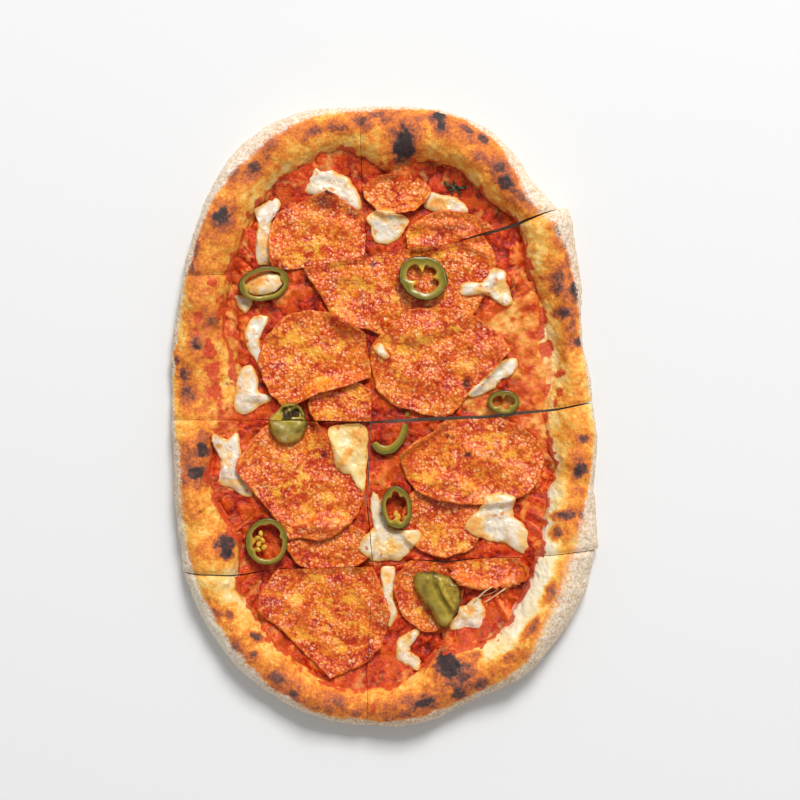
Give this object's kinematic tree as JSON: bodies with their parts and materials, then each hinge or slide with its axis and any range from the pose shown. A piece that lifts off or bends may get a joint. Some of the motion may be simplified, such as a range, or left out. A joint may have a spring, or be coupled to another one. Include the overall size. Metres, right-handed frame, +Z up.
{
  "type": "diavola pizza",
  "caption": "Oval hearth-baked pizza with a tall blistered rim, spicy salami, mozzarella and jalapeno on tomato sauce, cut into pieces that lie together.",
  "frame": {"origin": "on the table, under the middle of the pizza's box", "axes": "+Z up, +Y along the long side of the oval, +X to the right as seen from above with +Y away"},
  "size_m": [0.2405, 0.3497, 0.0241],
  "materials": {
    "dough": "baked wheat dough, dry and matt, golden with scorched blisters and flour on its flank",
    "sauce": "cooked tomato sauce, moist, with pulp",
    "salami": "oily baked salami with fine pale fat",
    "mozzarella": "melted cheese, smooth, moist, with toasted spots",
    "jalapeno": "pickled olive green flesh with a shiny skin",
    "herb": "scorched herb leaf, dull"
  },
  "bodies": {
    "root": {"dough_bottom_left": "dough", "dough_bottom_right": "dough", "dough_lower_left": "dough", "dough_lower_right": "dough", "dough_top_left": "dough", "dough_top_right": "dough", "dough_upper_left": "dough", "dough_upper_right": "dough", "herb_sprig": "herb", "jalapeno_cut_lower_left": "jalapeno", "jalapeno_cut_upper_left": "jalapeno", "jalapeno_hook": "jalapeno", "jalapeno_leaf": "jalapeno", "jalapeno_oval": "jalapeno", "jalapeno_round": "jalapeno", "jalapeno_small": "jalapeno", "jalapeno_star": "jalapeno", "jalapeno_tip": "jalapeno", "mozzarella_band": "mozzarella", "mozzarella_bottom": "mozzarella", "mozzarella_crescent_left": "mozzarella", "mozzarella_crescent_top": "mozzarella", "mozzarella_dab": "mozzarella", "mozzarella_left": "mozzarella", "mozzarella_low_lower_left": "mozzarella", "mozzarella_low_lower_right": "mozzarella", "mozzarella_low_right": "mozzarella", "mozzarella_middle": "mozzarella", "mozzarella_pool": "mozzarella", "mozzarella_right": "mozzarella", "mozzarella_slant": "mozzarella", "mozzarella_spot": "mozzarella", "mozzarella_star": "mozzarella", "mozzarella_strand": "mozzarella", "mozzarella_top_bits": "mozzarella", "mozzarella_wing": "mozzarella", "salami_bottom_bottom_left": "salami", "salami_bottom_bottom_right": "salami", "salami_bottom_round": "salami", "salami_flap": "salami", "salami_large_upper_left": "salami", "salami_large_upper_right": "salami", "salami_left": "salami", "salami_low_left": "salami", "salami_low_right": "salami", "salami_low_round": "salami", "salami_low_sliver": "salami", "salami_middle_small": "salami", "salami_right": "salami", "salami_strip": "salami", "salami_top": "salami", "salami_under_rim": "salami", "sauce_bottom_left": "sauce", "sauce_bottom_right": "sauce", "sauce_lower_left": "sauce", "sauce_lower_right": "sauce", "sauce_top_left": "sauce", "sauce_top_right": "sauce", "sauce_upper_left": "sauce", "sauce_upper_right": "sauce"}
  },
  "joints": []
}
